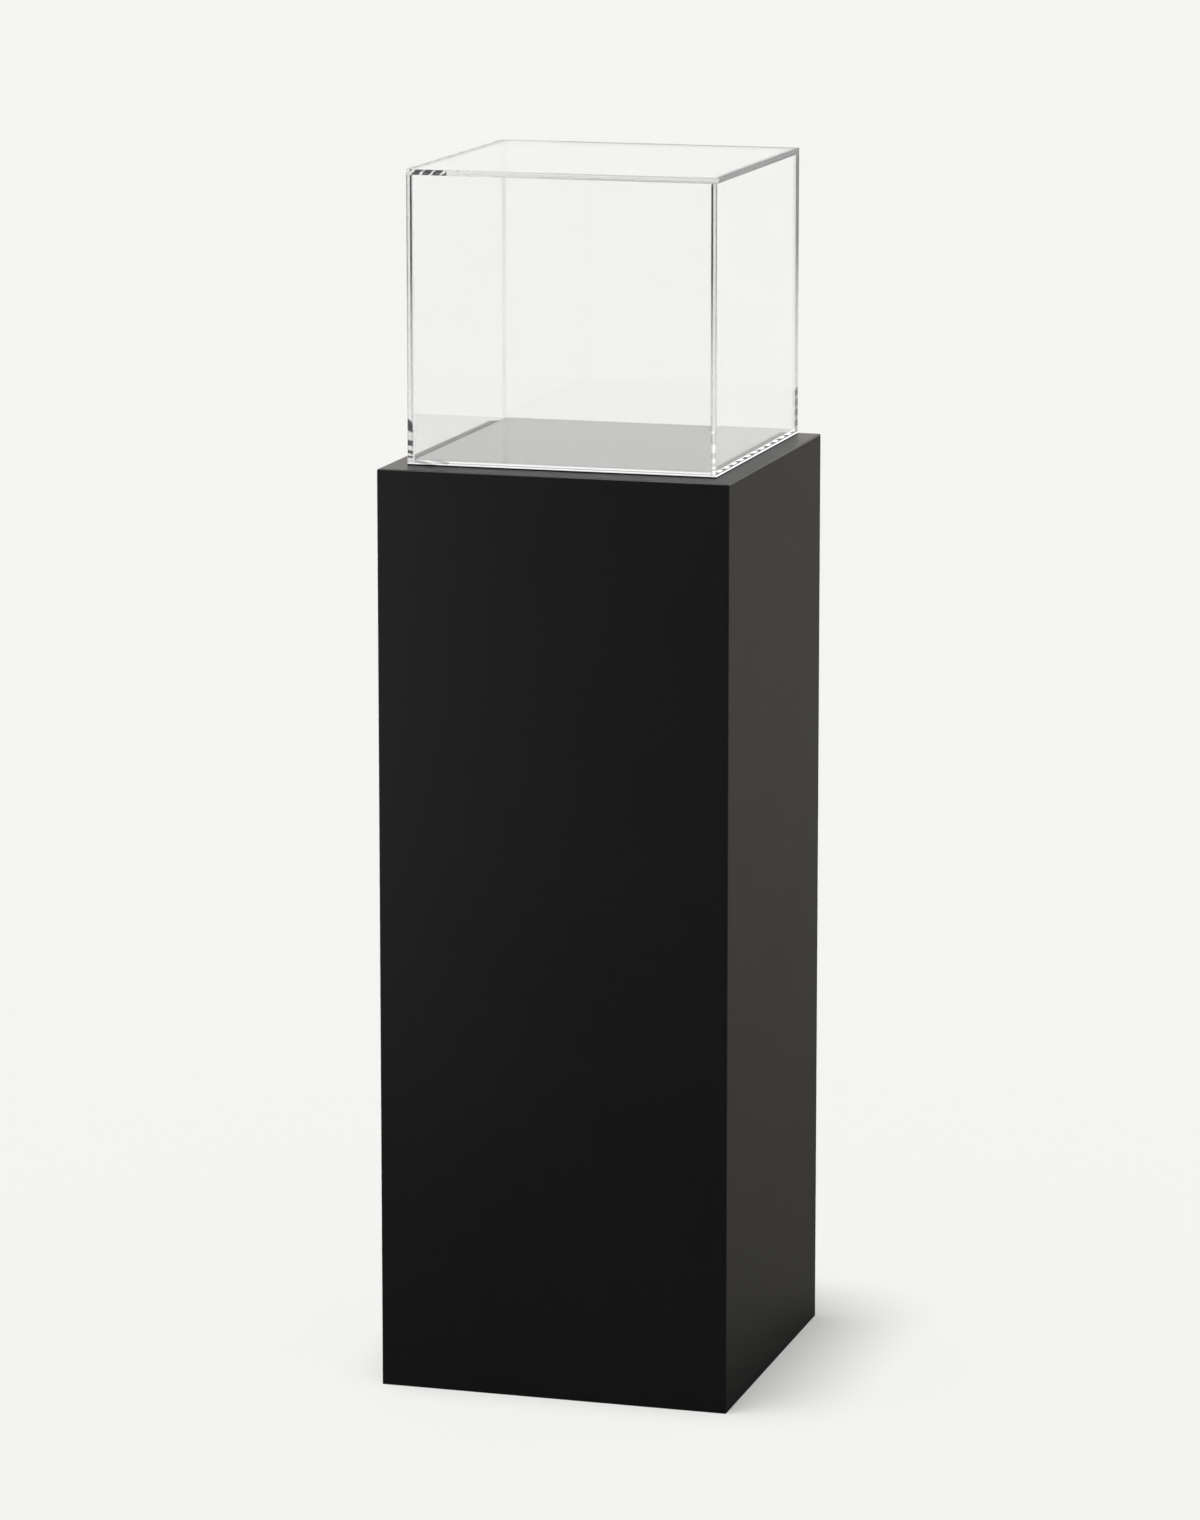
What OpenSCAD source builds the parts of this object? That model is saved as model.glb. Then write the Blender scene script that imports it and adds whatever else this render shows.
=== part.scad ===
// Pedestal display case: a painted box plinth that carries a clear lift-off case.
//
// The floor is z = 0, the front faces -Y and the plinth stands centred on the origin.
// The plinth is a mitred box of four walls and a deck, with glued battens inside and
// a sunk base board that carries four screw feet. The case is a stepped clear base,
// which lies on the deck, and a five-sided cover of clear sheet that fits over the step.

/* [Plinth] */
// Width of the plinth, left to right
plinth_w = 350; // [300:1:500]
// Depth of the plinth, front to back
plinth_d = 350; // [330:1:500]
// Height of the plinth from the floor to its deck
plinth_h = 910; // [600:1:1200]
// Thickness of the walls, the deck and the base board
board_t = 18; // [15:1:25]
// Radius of the rounded edge round the deck
deck_edge_r = 2; // [0.5:0.5:5]
// Radius of the four upright corners
corner_r = 1.5; // [0.5:0.5:5]

/* [Inner frame] */
// Side of the square battens and cleats glued inside the plinth
batten_t = 20; // [16:1:28]
// Chamfer on the batten edge that lies in the corner, which leaves room for glue
batten_chamfer = 3; // [1:0.5:6]
// Shank diameter of the countersunk wood screws
screw_d = 4; // [3:0.5:5]
// Head diameter of the screws
screw_head_d = 8; // [7:0.5:10]
// Height of the tapered part of the screw head
screw_head_h = 2.6; // [2:0.2:4]
// How deep the screws reach into the board behind the cleat
screw_bite = 13; // [8:1:14]
// Distance from the end of a cleat to its nearest screw
screw_inset = 60; // [20:1:90]

/* [Screw feet] */
// Diameter of the foot pads
pad_d = 32; // [25:1:40]
// Height of the foot pads
pad_h = 8; // [6:0.5:12]
// Depth of the socket in the pad that holds the foot's stud
pad_socket = 5; // [3:0.5:5]
// Distance from the plinth's faces to the axis of each foot
foot_inset = 55; // [52:1:80]
// How far each foot winds out
foot_travel = 12; // [5:1:20]
// Outside diameter of the thread on the studs
stud_d = 8; // [6:1:10]
// Width across the flats of the hexagon that turns the foot
collar_af = 13; // [12:1:17]
// Height of that hexagon
collar_h = 5; // [4:0.5:8]
// Diameter of the tee nut's flange
nut_flange_d = 22; // [18:1:26]
// Thickness of the tee nut's flange
nut_flange_t = 1.6; // [1:0.2:2.4]
// Outside diameter of the tee nut's barrel
nut_barrel_d = 11; // [11:0.5:13]
// Length of the tee nut's barrel
nut_barrel_l = 11; // [8:1:14]

/* [Display case] */
// Width of the cover outside, left to right
cover_w = 308; // [240:1:340]
// Depth of the cover outside, front to back
cover_d = 308; // [240:1:320]
// Height of the cover outside, from its lower edge to its top
cover_h = 283; // [150:1:450]
// Thickness of the clear sheet that the cover is made from
sheet_t = 6; // [3:1:10]
// Thickness of the clear base sheet, which has the cover's outline
base_sheet_t = 3; // [2:0.5:8]
// Thickness of the smaller sheet on it, which keeps the cover in its place
step_sheet_t = 3; // [2:0.5:8]
// How far the case stands behind the middle of the deck
case_setback = 10; // [0:1:12]

/* [Clearances] */
// Gap all round between the stepped base and the inside of the cover
step_gap = 0.5; // [0.3:0.1:2]
// Radial gap between a stud and the nut that it turns in
thread_gap = 0.05; // [0.02:0.01:0.1]
// Gap round screws, nuts and studs that are pressed or driven home
seat_gap = 0.1; // [0.05:0.05:0.2]
// Gap between a foot's hexagon and the base board, wound right in
stop_gap = 0.3; // [0.2:0.1:1]

/* [Hidden] */
$fn = 64;
// How far cutting shapes run past the faces that they cut
past = 5;
// Straight edge round a screw's head, above its taper
head_rim = 0.4;
// Height of the point of a screw, and of the lead at a stud's end
point_h = 4;
lead_h = 1;
// Chamfer at the foot of a pad, and the straight edge above it
pad_chamfer = 1;
pad_edge = 3;
// Share of the pad's radius that its flat top keeps
pad_top_share = 0.6;

inner_w = plinth_w - 2 * board_t;
inner_d = plinth_d - 2 * board_t;
deck_under = plinth_h - board_t;
// The base board lies just above the feet when they are wound right in
base_under = pad_h + collar_h + stop_gap;
base_top = base_under + board_t;
batten_l = deck_under - base_top;
// The cleats fill the walls between the corner battens
cleat_x = inner_w - 2 * batten_t;
cleat_y = inner_d - 2 * batten_t;
screw_l = batten_t + screw_bite;
stud_r = stud_d / 2 - thread_gap;
// At full travel the stud still fills the nut
stud_top = base_top + nut_flange_t + foot_travel + lead_h;

step_inset = sheet_t + step_gap;
case_z = plinth_h;
cover_z = case_z + base_sheet_t;
wall_h = cover_h - sheet_t;
// The side sheets run from front to back, and the front and back sheets fit between
between_w = cover_w - 2 * sheet_t;

// The four sides, as the turn that carries the front onto each of them
FRONT = 0;
RIGHT = 90;
BACK = 180;
LEFT = 270;
SIDES = [FRONT, RIGHT, BACK, LEFT];

PAINT = [0.07, 0.07, 0.07];
PINE = [0.80, 0.66, 0.45];
STEEL = [0.66, 0.67, 0.69];
NYLON = [0.12, 0.12, 0.13];
CLEAR = [0.86, 0.92, 0.94, 0.35];
EDGE_CLEAR = [0.78, 0.88, 0.90, 0.45];

// How far a side stands from the middle, and how wide it is, by the turn that faces it
function is_cross(side) = side == FRONT || side == BACK;
function reach(side) = (is_cross(side) ? plinth_d : plinth_w) / 2;
function span(side) = is_cross(side) ? plinth_w : plinth_d;
function cleat_l(side) = is_cross(side) ? cleat_x : cleat_y;

// A rectangle with round corners, centred, made of straight strips and true arcs
module round_rectangle(w, h, r) {
    square([w - 2 * r, h], center = true);
    square([w, h - 2 * r], center = true);
    for (x = [-1, 1], y = [-1, 1])
        translate([x * (w / 2 - r), y * (h / 2 - r)]) circle(r);
}

// An upright profile with rounded upper corners, run along Y, and open below the floor
module crowned_bar(w, l) {
    tall = 2 * plinth_h;
    rotate([90, 0, 0])
        linear_extrude(l, center = true)
            translate([0, plinth_h - tall / 2]) round_rectangle(w, tall, deck_edge_r);
}

// The outside of the plinth with its edges rounded, as one block
module plinth_form() {
    intersection() {
        linear_extrude(plinth_h) round_rectangle(plinth_w, plinth_d, corner_r);
        crowned_bar(plinth_w, plinth_d + 2 * past);
        rotate([0, 0, 90]) crowned_bar(plinth_d, plinth_w + 2 * past);
    }
}

// A strip one board thick along the top edge of a profile, with both ends mitred inwards
module mitred_strip(w, level) {
    polygon([
        [-w / 2 - past, level + past], [w / 2 + past, level + past],
        [w / 2 - board_t, level - board_t], [-w / 2 + board_t, level - board_t]
    ]);
}

// One wall: a board mitred along both uprights and along the deck
module wall(side) {
    w = span(side);
    color(PAINT)
        intersection() {
            plinth_form();
            rotate([0, 0, side]) {
                intersection() {
                    translate([0, 0, -past])
                        linear_extrude(plinth_h + 2 * past)
                            mirror([0, 1]) mitred_strip(w, reach(side));
                    rotate([90, 0, 90])
                        linear_extrude(w + 2 * past, center = true)
                            polygon([
                                [-reach(side) - past, -past],
                                [-reach(side) + board_t, -past],
                                [-reach(side) + board_t, deck_under],
                                [-reach(side) - past, plinth_h + past]
                            ]);
                }
            }
        }
}

// The deck: a board mitred along all four edges, drilled from below for the cleat screws
module deck_board() {
    color(PAINT)
        difference() {
            intersection() {
                plinth_form();
                rotate([90, 0, 0])
                    linear_extrude(plinth_d + 2 * past, center = true)
                        mitred_strip(plinth_w, plinth_h);
                rotate([90, 0, 90])
                    linear_extrude(plinth_w + 2 * past, center = true)
                        mitred_strip(plinth_d, plinth_h);
            }
            for (side = SIDES) deck_screw_places(side) screw(seat_gap);
        }
}

// The base board: it fits between the walls and holds the nuts of the feet
module base_board() {
    color(PAINT)
        difference() {
            translate([-inner_w / 2, -inner_d / 2, base_under])
                cube([inner_w, inner_d, board_t]);
            foot_places()
                translate([0, 0, base_under - past])
                    cylinder(r = nut_barrel_d / 2 + seat_gap, h = board_t + 2 * past);
            for (side = SIDES) base_screw_places(side) screw(seat_gap);
        }
}

// A countersunk wood screw, head at the origin and point along +Z; grow opens it as a hole
module screw(grow = 0) {
    r = screw_d / 2 + grow;
    head_r = screw_head_d / 2 + grow;
    over = grow > 0 ? -past : 0;
    rotate_extrude()
        polygon([
            [0, over], [head_r, over], [head_r, head_rim], [r, head_rim + screw_head_h],
            [r, screw_l - point_h + grow], [0, screw_l + grow]
        ]);
}

// The two screws of a cleat: up into the deck, or down into the base board
module cleat_screw_spots(side) {
    rotate([0, 0, side])
        for (x = [-1, 1])
            translate([
                x * (cleat_l(side) / 2 - screw_inset),
                -reach(side) + board_t + batten_t / 2
            ])
                children();
}

module deck_screw_places(side) {
    cleat_screw_spots(side) translate([0, 0, deck_under - batten_t]) children();
}

module base_screw_places(side) {
    cleat_screw_spots(side)
        translate([0, 0, base_top + batten_t]) rotate([180, 0, 0]) children();
}

// A length of batten along one wall, its lower face at z
module cleat_bar(side, z) {
    rotate([0, 0, side])
        translate([-cleat_l(side) / 2, -reach(side) + board_t, z])
            cube([cleat_l(side), batten_t, batten_t]);
}

module deck_cleat(side) {
    color(PINE)
        difference() {
            cleat_bar(side, deck_under - batten_t);
            deck_screw_places(side) screw(seat_gap);
        }
}

module base_cleat(side) {
    color(PINE)
        difference() {
            cleat_bar(side, base_top);
            base_screw_places(side) screw(seat_gap);
        }
}

module deck_cleat_screws() {
    color(STEEL) for (side = SIDES) deck_screw_places(side) screw();
}

module base_cleat_screws() {
    color(STEEL) for (side = SIDES) base_screw_places(side) screw();
}

// A batten in one corner, from the base board to the deck; x and y say which corner
module corner_batten(x, y) {
    color(PINE)
        mirror([x > 0 ? 1 : 0, 0, 0])
            mirror([0, y > 0 ? 1 : 0, 0])
                translate([-inner_w / 2, -inner_d / 2, base_top])
                    linear_extrude(batten_l)
                        polygon([
                            [batten_chamfer, 0], [batten_t, 0], [batten_t, batten_t],
                            [0, batten_t], [0, batten_chamfer]
                        ]);
}

// The axis of one foot; x and y say which corner
module foot_place(x, y) {
    translate([x * (plinth_w / 2 - foot_inset), y * (plinth_d / 2 - foot_inset)])
        children();
}

module foot_places() {
    for (x = [-1, 1], y = [-1, 1]) foot_place(x, y) children();
}

// The nuts: a flange on the base board and a barrel down into it
module tee_nuts() {
    color(STEEL)
        foot_places()
            difference() {
                union() {
                    translate([0, 0, base_top])
                        cylinder(d = nut_flange_d, h = nut_flange_t);
                    translate([0, 0, base_top - nut_barrel_l])
                        cylinder(d = nut_barrel_d, h = nut_barrel_l + nut_flange_t);
                }
                translate([0, 0, base_top - nut_barrel_l - past])
                    cylinder(d = stud_d, h = nut_barrel_l + nut_flange_t + 2 * past);
            }
}

// A stud with the hexagon that turns it, its lower end in the pad
module foot_stud(x, y) {
    across_corners = collar_af / cos(30);
    stud_l = stud_top - (pad_h - pad_socket);
    color(STEEL)
        foot_place(x, y) {
            translate([0, 0, pad_h - pad_socket])
                rotate_extrude()
                    polygon([
                        [0, 0], [stud_r, 0], [stud_r, stud_l - lead_h],
                        [stud_r - lead_h, stud_l], [0, stud_l]
                    ]);
            translate([0, 0, pad_h])
                cylinder(d = across_corners, h = collar_h, $fn = 6);
        }
}

// A pad: a disc whose shoulder slopes in to the hexagon above it
module foot_pad(x, y) {
    r = pad_d / 2;
    color(NYLON)
        foot_place(x, y)
            difference() {
                rotate_extrude()
                    polygon([
                        [0, 0], [r - pad_chamfer, 0], [r, pad_chamfer], [r, pad_edge],
                        [r * pad_top_share, pad_h], [0, pad_h]
                    ]);
                translate([0, 0, pad_h - pad_socket])
                    cylinder(r = stud_r + seat_gap, h = pad_socket + past);
            }
}

// A clear sheet centred on the case, its lower face at z
module case_sheet(size, z, at = [0, 0]) {
    translate([at.x - size.x / 2, at.y + case_setback - size.y / 2, z]) cube(size);
}

module case_base_sheet() {
    color(EDGE_CLEAR) case_sheet([cover_w, cover_d, base_sheet_t], case_z);
}

module case_step_sheet() {
    color(EDGE_CLEAR)
        case_sheet(
            [cover_w - 2 * step_inset, cover_d - 2 * step_inset, step_sheet_t], cover_z
        );
}

// A side sheet of the cover, as deep as the cover; x says left or right
module cover_side_sheet(x) {
    color(CLEAR)
        case_sheet([sheet_t, cover_d, wall_h], cover_z, [x * (cover_w - sheet_t) / 2, 0]);
}

// A front or back sheet of the cover, which fits between the side sheets
module cover_cross_sheet(y) {
    color(CLEAR)
        case_sheet([between_w, sheet_t, wall_h], cover_z, [0, y * (cover_d - sheet_t) / 2]);
}

module cover_top_sheet() {
    color(CLEAR) case_sheet([cover_w, cover_d, sheet_t], cover_z + wall_h);
}

wall(FRONT);  // front_wall
wall(BACK);  // back_wall
wall(LEFT);  // left_wall
wall(RIGHT);  // right_wall
deck_board();
base_board();
corner_batten(-1, -1);  // corner_batten_front_left
corner_batten(1, -1);  // corner_batten_front_right
corner_batten(-1, 1);  // corner_batten_back_left
corner_batten(1, 1);  // corner_batten_back_right
deck_cleat(FRONT);  // deck_cleat_front
deck_cleat(BACK);  // deck_cleat_back
deck_cleat(LEFT);  // deck_cleat_left
deck_cleat(RIGHT);  // deck_cleat_right
base_cleat(FRONT);  // base_cleat_front
base_cleat(BACK);  // base_cleat_back
base_cleat(LEFT);  // base_cleat_left
base_cleat(RIGHT);  // base_cleat_right
deck_cleat_screws();
base_cleat_screws();
tee_nuts();
foot_stud(-1, -1);  // foot_stud_front_left
foot_stud(1, -1);  // foot_stud_front_right
foot_stud(-1, 1);  // foot_stud_back_left
foot_stud(1, 1);  // foot_stud_back_right
foot_pad(-1, -1);  // foot_pad_front_left
foot_pad(1, -1);  // foot_pad_front_right
foot_pad(-1, 1);  // foot_pad_back_left
foot_pad(1, 1);  // foot_pad_back_right
case_base_sheet();
case_step_sheet();
cover_cross_sheet(-1);  // cover_front_sheet
cover_cross_sheet(1);  // cover_back_sheet
cover_side_sheet(-1);  // cover_left_sheet
cover_side_sheet(1);  // cover_right_sheet
cover_top_sheet();
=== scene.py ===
"""Looks of a pedestal display case: a satin black box plinth that carries a clear lift-off case.

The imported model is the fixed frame. All lengths are metres, +Z is up and the front faces -Y.
"""

import logging
import math
from dataclasses import dataclass, field
from enum import Enum
from typing import Callable, Iterable

import bmesh
import bpy
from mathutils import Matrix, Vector


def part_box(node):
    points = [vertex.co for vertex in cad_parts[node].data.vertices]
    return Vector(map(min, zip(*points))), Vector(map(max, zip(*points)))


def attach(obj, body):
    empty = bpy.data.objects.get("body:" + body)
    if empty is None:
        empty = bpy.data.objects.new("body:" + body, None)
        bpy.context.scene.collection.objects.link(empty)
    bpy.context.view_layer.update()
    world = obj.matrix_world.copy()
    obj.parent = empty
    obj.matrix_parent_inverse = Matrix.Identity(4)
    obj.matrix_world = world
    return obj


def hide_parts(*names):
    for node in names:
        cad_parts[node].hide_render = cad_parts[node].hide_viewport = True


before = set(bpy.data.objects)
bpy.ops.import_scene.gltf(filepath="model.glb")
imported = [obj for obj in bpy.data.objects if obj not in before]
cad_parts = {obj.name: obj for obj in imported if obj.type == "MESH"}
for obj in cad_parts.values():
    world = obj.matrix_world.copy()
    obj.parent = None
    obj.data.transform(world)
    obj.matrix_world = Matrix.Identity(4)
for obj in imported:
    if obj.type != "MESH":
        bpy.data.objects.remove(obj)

LOG = logging.getLogger("display_case")
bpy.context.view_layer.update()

Colour = tuple[float, float, float]
Corners = list[bmesh.types.BMVert]

PALE_BACKGROUND: Colour = (0.911, 0.909, 0.893)
WARM: Colour = (1.0, 0.968, 0.91)
QUARTER_TURN = math.pi / 2
WAVE_LENGTH = math.tau / 20  # of Blender's wave pattern at a scale of 1
EDGE_AMOUNTS = ("marks", "reach", "crowded", "seam", "glow")
LEFT, RIGHT, FRONT, BACK, UP, DOWN = (Vector(v) for v in (
    (-1, 0, 0), (1, 0, 0), (0, -1, 0), (0, 1, 0), (0, 0, 1), (0, 0, -1)))


def operator(operation: str, swapped: bool = False) -> Callable[["Value", object], "Value"]:
    """Makes one of the operators of Value.

    Args:
        operation: the Math node's operation.
        swapped: whether the other number comes first.

    Returns:
        A method that adds the node and returns its result.
    """
    def apply(self: "Value", other: object) -> "Value":
        """Adds the node and returns its result."""
        pair = (other, self) if swapped else (self, other)
        return self.graph.math(operation, *pair)
    return apply


class Value:
    """What a node gives out. The numbers among them take plain arithmetic."""

    def __init__(self, graph: "Graph", socket: bpy.types.NodeSocket) -> None:
        """Takes the graph, and the socket that gives the value."""
        self.graph = graph
        self.socket = socket

    __add__ = operator("ADD")
    __sub__ = operator("SUBTRACT")
    __rsub__ = operator("SUBTRACT", swapped=True)
    __mul__ = operator("MULTIPLY")
    __truediv__ = operator("DIVIDE")
    __rtruediv__ = operator("DIVIDE", swapped=True)
    __mod__ = operator("MODULO")

    def __abs__(self) -> "Value":
        """The number without its sign."""
        return self.graph.math("ABSOLUTE", self)


class Graph:
    """A node tree that is filled by short calls."""

    def __init__(self, tree: bpy.types.NodeTree) -> None:
        """Takes the tree to fill."""
        self.tree = tree

    def node(self, kind: str, inputs: dict | None = None, **settings: object) -> bpy.types.Node:
        """Adds one node.

        Args:
            kind: the node's type, as Blender names it.
            inputs: what feeds its inputs, by name or index.
            **settings: the node's own properties.

        Returns:
            The new node.
        """
        made = self.tree.nodes.new(kind)
        for name, value in settings.items():
            setattr(made, name, value)
        for key, value in (inputs or {}).items():
            self.feed(made.inputs[key], value)
        return made

    def out(self, kind: str, inputs: dict | None = None, output: str | int = 0,
            **settings: object) -> Value:
        """Adds one node and returns one of its outputs, the first unless another is named."""
        return Value(self, self.node(kind, inputs, **settings).outputs[output])

    def feed(self, target: bpy.types.NodeSocket, value: object) -> None:
        """Links a value to an input, or sets a plain number, colour or name on it.

        Args:
            target: the input.
            value: what feeds it.
        """
        if isinstance(value, Value):
            self.tree.links.new(value.socket, target)
        elif target.type == "RGBA" and len(value) == 3:
            target.default_value = (*value, 1.0)
        else:
            target.default_value = value

    def math(self, operation: str, *values: object, clamp: bool = False) -> Value:
        """Adds one Math node and returns its result."""
        feeds = dict(enumerate(values))
        return self.out("ShaderNodeMath", feeds, operation=operation, use_clamp=clamp)

    def steps(self, value: Value, low: object, high: object, to_low: float = 0.0,
              to_high: float = 1.0, kind: str = "SMOOTHSTEP") -> Value:
        """Turns a range of values into another one.

        Args:
            value: the value to read.
            low: where its range starts.
            high: where its range ends.
            to_low: the result at low.
            to_high: the result at high.
            kind: how it runs between them.

        Returns:
            The new value.
        """
        feeds = {"Value": value, "From Min": low, "From Max": high,
                 "To Min": to_low, "To Max": to_high}
        return self.out("ShaderNodeMapRange", feeds, "Result", interpolation_type=kind)

    def mix(self, share: object, first: object, second: object, blend: str = "MIX") -> Value:
        """Mixes two colours.

        Args:
            share: how much of the second shows.
            first: the first colour.
            second: the second colour.
            blend: how the second is laid over the first.

        Returns:
            The mixed colour.
        """
        made = self.node("ShaderNodeMix", data_type="RGBA", blend_type=blend)
        sockets = {socket.identifier: socket for socket in (*made.inputs, *made.outputs)}
        for key, value in (("Factor_Float", share), ("A_Color", first), ("B_Color", second)):
            self.feed(sockets[key], value)
        return Value(self, sockets["Result_Color"])

    def axes(self, vector: Value) -> list[Value]:
        """Splits a vector into its three parts."""
        made = self.node("ShaderNodeSeparateXYZ", {0: vector})
        return [Value(self, part) for part in made.outputs]

    def place(self, stretch: Colour = (1.0, 1.0, 1.0), turn: Colour = (0.0, 0.0, 0.0)) -> Value:
        """Object coordinates, stretched and turned for a pattern."""
        where = self.out("ShaderNodeTexCoord", output="Object")
        return self.out("ShaderNodeMapping", {"Vector": where, "Scale": stretch, "Rotation": turn})

    def noise(self, where: Value, scale: object, detail: float = 2.0,
              roughness: float = 0.5) -> Value:
        """Adds a noise pattern and returns its value."""
        feeds = {"Vector": where, "Scale": scale, "Detail": detail, "Roughness": roughness}
        return self.out("ShaderNodeTexNoise", feeds)

    def bump(self, height: Value, distance: float) -> Value:
        """Adds a bump and returns its normal."""
        feeds = {"Height": height, "Distance": distance, "Strength": 1.0}
        return self.out("ShaderNodeBump", feeds, "Normal")

    def edge_map(self) -> list[Value]:
        """Reads the edge map: the map itself, metres along the edge, and the share across it."""
        spot = self.out("ShaderNodeUVMap", uv_map="edge")
        return [spot, *self.axes(spot)[:2]]

    def amount(self, name: str) -> Value:
        """Reads one of the amounts that a mesh carries along its edges."""
        return self.out("ShaderNodeAttribute", output="Fac", attribute_name=name)

    def ray(self, kind: str) -> Value:
        """Whether the ray that arrives is of a kind."""
        return self.out("ShaderNodeLightPath", output=f"Is {kind} Ray")

    def blurred_ray(self) -> Value:
        """Whether the ray comes from a satin or matt reflection."""
        return self.math("SUBTRACT", self.ray("Glossy"), self.ray("Singular"), clamp=True)


def cleared(owner: bpy.types.Material | bpy.types.World) -> Graph:
    """Empties the node tree of a new material or world.

    Args:
        owner: the material or world.

    Returns:
        The graph to fill it with.
    """
    owner.use_nodes = True
    owner.node_tree.nodes.clear()
    return Graph(owner.node_tree)


def input_name(key: str) -> str:
    """The name of a group's input, from the Python name for it."""
    return key.replace("_", " ").title()


def node_group(name: str, kind: str, inputs: dict[str, str],
               outputs: dict[str, str]) -> tuple[Graph, dict[str, Value]]:
    """Starts a node group.

    Args:
        name: the group's name.
        kind: Shader or Geometry.
        inputs: each input's kind of socket, by name.
        outputs: each output's, likewise.

    Returns:
        The group's graph, and its inputs by name.
    """
    tree = bpy.data.node_groups.new(name, f"{kind}NodeTree")
    for way, sockets in (("INPUT", inputs), ("OUTPUT", outputs)):
        for key, socket in sockets.items():
            tree.interface.new_socket(key, in_out=way, socket_type=f"NodeSocket{socket}")
    graph = Graph(tree)
    entry = graph.node("NodeGroupInput")
    return graph, {key: Value(graph, entry.outputs[key]) for key in inputs}


class Effect:
    """A pattern for finishes to share: a node group, built once, that gives plain numbers."""

    name: str
    inputs: dict[str, float]
    outputs: tuple[str, ...]

    @classmethod
    def fill(cls, graph: Graph, given: dict[str, Value]) -> dict[str, Value]:
        """Fills the group.

        Args:
            graph: the group's graph.
            given: its inputs by name.

        Returns:
            Its outputs by name.
        """
        raise NotImplementedError

    @classmethod
    def build(cls) -> bpy.types.NodeTree:
        """Builds the group, with its usual values on its inputs.

        Returns:
            The group's tree.
        """
        graph, given = node_group(cls.name, "Shader", dict.fromkeys(cls.inputs, "Float"),
                                  dict.fromkeys(cls.outputs, "Float"))
        for key, value in cls.inputs.items():
            graph.tree.interface.items_tree[key].default_value = value
        graph.node("NodeGroupOutput", cls.fill(graph, given))
        return graph.tree

    @classmethod
    def use(cls, graph: Graph, **values: float) -> dict[str, Value]:
        """Places the group in a material.

        Args:
            graph: the material's graph.
            **values: the group's inputs, with _ for spaces.

        Returns:
            The group's outputs by name.
        """
        tree = bpy.data.node_groups.get(cls.name) or cls.build()
        feeds = {input_name(key): value for key, value in values.items()}
        made = graph.node("ShaderNodeGroup", feeds, node_tree=tree)
        return {key: Value(graph, made.outputs[key]) for key in cls.outputs}


class Mottle(Effect):
    """Slow clouds with fine grain in them, as sprayed or moulded surfaces have."""

    name = "cloud_and_grain"
    inputs = {"Cloud Size": 0.12, "Grain Size": 0.002, "Grain Share": 0.3}
    outputs = ("Value",)

    @classmethod
    def fill(cls, graph: Graph, given: dict[str, Value]) -> dict[str, Value]:
        """Fills the group.

        Args:
            graph: the group's graph.
            given: its inputs by name.

        Returns:
            Its value, from 0 to 1.
        """
        where = graph.place()
        share = given["Grain Share"]
        cloud = graph.noise(where, 1.0 / given["Cloud Size"], 3.0)
        grain = graph.noise(where, 1.0 / given["Grain Size"], 1.0)
        return {"Value": cloud * (1.0 - share) + grain * share}


class Dust(Effect):
    """Thin dust that lies on faces that look up."""

    name = "settled_dust"
    inputs = {"Amount": 0.3}
    outputs = ("Mask",)
    film_scale = 22.0
    film_share = 0.4
    speck_scale = 900.0

    @classmethod
    def fill(cls, graph: Graph, given: dict[str, Value]) -> dict[str, Value]:
        """Fills the group.

        Args:
            graph: the group's graph.
            given: its inputs by name.

        Returns:
            Its mask, from 0 to 1.
        """
        where = graph.place()
        normal = graph.out("ShaderNodeNewGeometry", output="Normal")
        upward = graph.steps(graph.axes(normal)[2], 0.6, 0.95)
        film = graph.steps(graph.noise(where, cls.film_scale, 4.0, 0.6), 0.42, 0.75)
        specks = graph.steps(graph.noise(where, cls.speck_scale, 1.0), 0.68, 0.76)
        both = graph.math("MAXIMUM", film * cls.film_share, specks)
        return {"Mask": both * (upward * given["Amount"])}


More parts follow.
